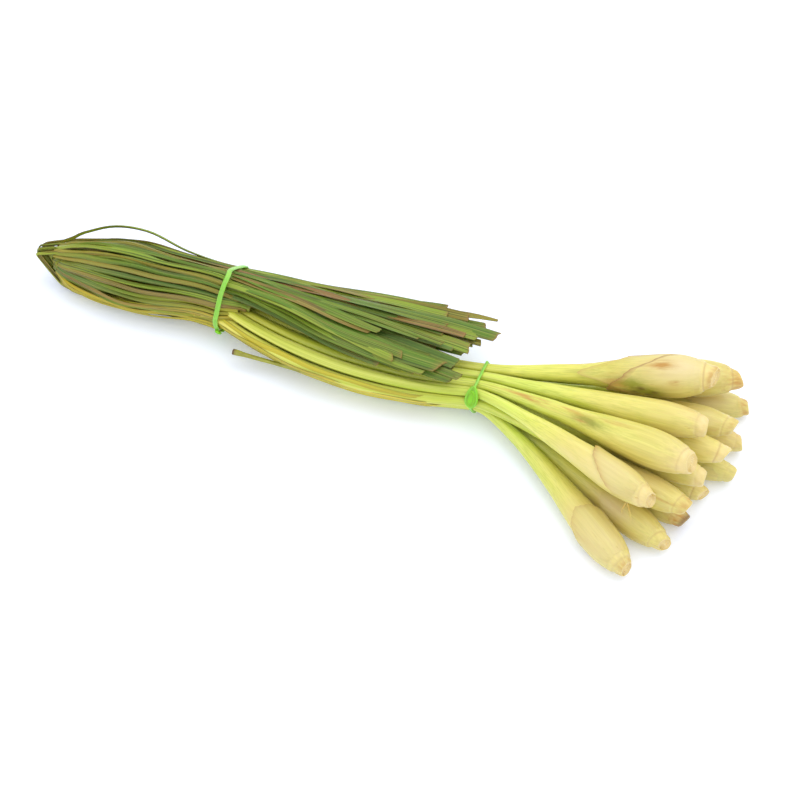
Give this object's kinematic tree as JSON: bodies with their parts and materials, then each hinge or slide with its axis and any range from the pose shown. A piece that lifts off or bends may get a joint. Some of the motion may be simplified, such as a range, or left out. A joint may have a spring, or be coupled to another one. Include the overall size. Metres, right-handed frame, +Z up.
{
  "type": "lemongrass bundle",
  "caption": "Bundle of fresh lemongrass stalks lying down, bulbs fanned out, leaves folded back over them, held by elastic bands.",
  "frame": {"origin": "middle of the footprint, on the surface that the bundle lies on", "axes": "+X along the bundle towards the bulbs, +Y to the back, +Z up"},
  "size_m": [0.4552, 0.1482, 0.0608],
  "materials": {
    "stalk": "smooth fresh plant sheath, satin",
    "leaf": "matt ribbed grass leaf",
    "band": "smooth translucent elastic"
  },
  "bodies": {
    "root": {"stalk_01": "stalk", "stalk_02": "stalk", "stalk_03": "stalk", "stalk_04": "stalk", "stalk_05": "stalk", "stalk_06": "stalk", "stalk_07": "stalk", "stalk_08": "stalk", "stalk_09": "stalk", "stalk_10": "stalk", "stalk_11": "stalk", "stalk_12": "stalk", "stalk_13": "stalk", "stalk_14": "stalk", "stalk_15": "stalk", "stalk_16": "stalk", "leaves_01": "leaf", "leaves_02": "leaf", "leaves_03": "leaf", "leaves_04": "leaf", "leaves_05": "leaf", "leaves_06": "leaf", "leaves_07": "leaf", "leaves_08": "leaf", "leaves_09": "leaf", "leaves_10": "leaf", "leaves_11": "leaf", "leaves_12": "leaf", "leaves_13": "leaf", "leaves_14": "leaf", "leaves_15": "leaf", "leaves_16": "leaf", "tie_stalks": "band", "tie_leaves": "band"}
  },
  "joints": []
}
